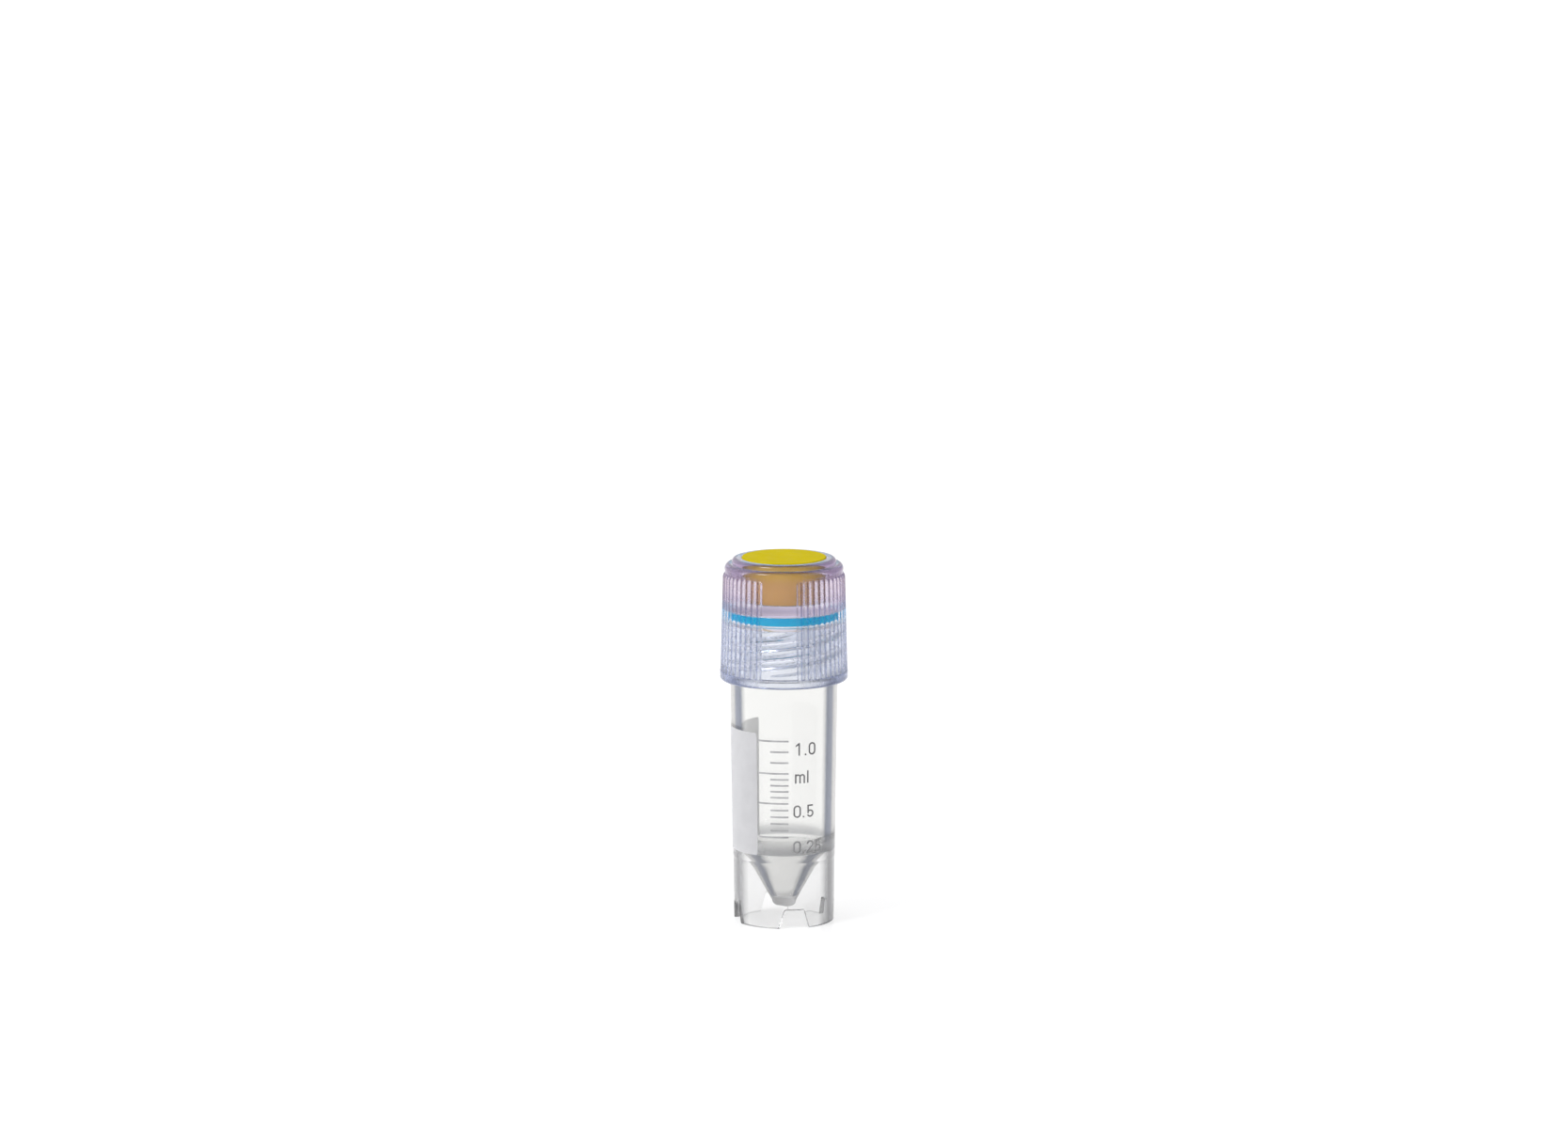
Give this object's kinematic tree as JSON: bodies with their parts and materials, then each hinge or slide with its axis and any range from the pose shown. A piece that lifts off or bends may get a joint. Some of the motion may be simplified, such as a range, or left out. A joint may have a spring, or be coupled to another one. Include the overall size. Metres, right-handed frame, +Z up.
{
  "type": "cryogenic vial",
  "caption": "Self-standing 1 ml cryogenic vial with a conical inner floor, a notched skirt foot, a graduated body and a ribbed screw cap with gasket and colour insert.",
  "frame": {"origin": "centre of the underside of the foot", "axes": "+Z up the vial's axis through the cap, -Y towards the front where the scale is read, -X towards the writing patch"},
  "size_m": [0.0142, 0.0142, 0.0411],
  "materials": {
    "tube_plastic": "clear, faintly hazy, polished",
    "cap_plastic": "clear with a faint lavender tint, polished",
    "gasket_silicone": "smooth bright blue silicone",
    "insert_plastic": "satin yellow",
    "patch_ink": "matte white marking ink",
    "scale_ink": "matte grey ink"
  },
  "bodies": {
    "vial": {"vial_tube": "tube_plastic", "writing_patch": "patch_ink", "graduation_scale": "scale_ink"},
    "seal": {"gasket": "gasket_silicone"},
    "cap": {"screw_cap": "cap_plastic", "cap_insert": "insert_plastic"}
  },
  "joints": [
    {"name": "cap_lift", "type": "slide", "parent": "vial", "child": "seal", "axis": [0, 0, 1], "range_m": [0, 0.018]},
    {"name": "cap_turn", "type": "hinge", "parent": "seal", "child": "cap", "pos_m": [0, 0, 0.035], "axis": [0, 0, 1], "range_deg": [0, 1620]}
  ],
  "couplings": [
    {"joint": "cap_turn", "follows": "cap_lift", "rad_per_m": 1570.8}
  ]
}
